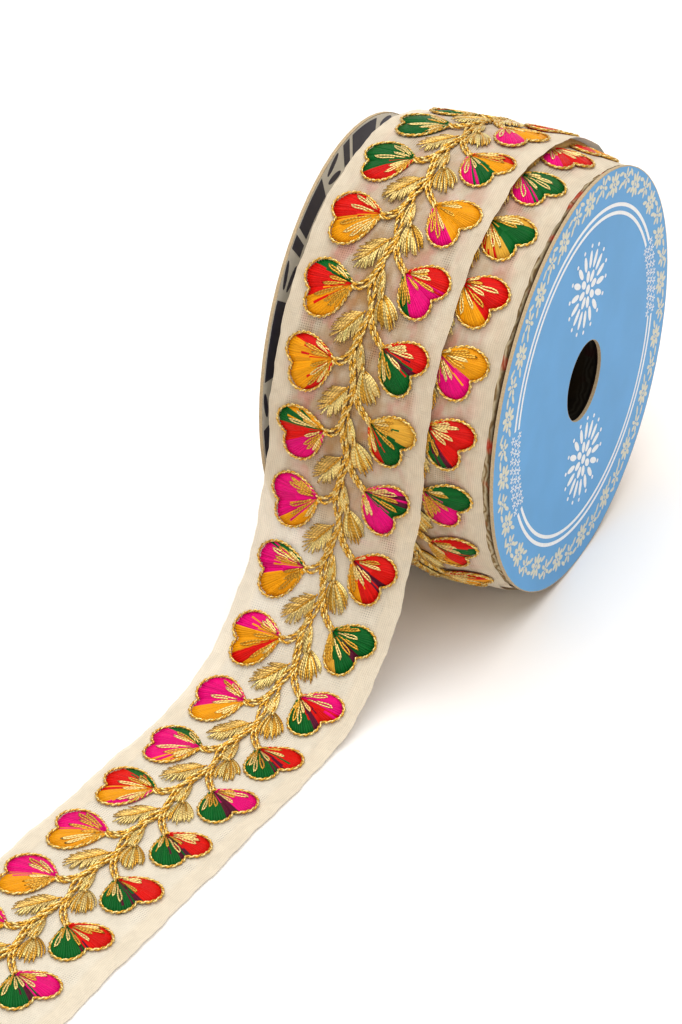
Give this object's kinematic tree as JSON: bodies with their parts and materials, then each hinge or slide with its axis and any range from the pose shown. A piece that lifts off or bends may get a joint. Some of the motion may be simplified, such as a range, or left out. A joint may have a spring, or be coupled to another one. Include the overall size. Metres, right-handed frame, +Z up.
{
  "type": "roll of gota patti lace",
  "caption": "Roll of sheer embroidered lace ribbon wound between round card discs, its loose end falling from the roll and running out flat in front.",
  "frame": {"origin": "on the surface that it stands on, under the middle of the bounding box", "axes": "+X along the spool's axis towards the printed disc, +Z up, the loose end runs towards -Y"},
  "size_m": [0.0984, 0.3446, 0.1363],
  "materials": {
    "printed_card": "blue printed card, satin",
    "plain_card": "cream card with a dark print, satin",
    "lace": "sheer cream net with silk and gold thread embroidery"
  },
  "bodies": {
    "root": {"front_disc": "printed_card", "back_disc": "plain_card", "wound_lace": "lace", "lace_tail": "lace"}
  },
  "joints": []
}
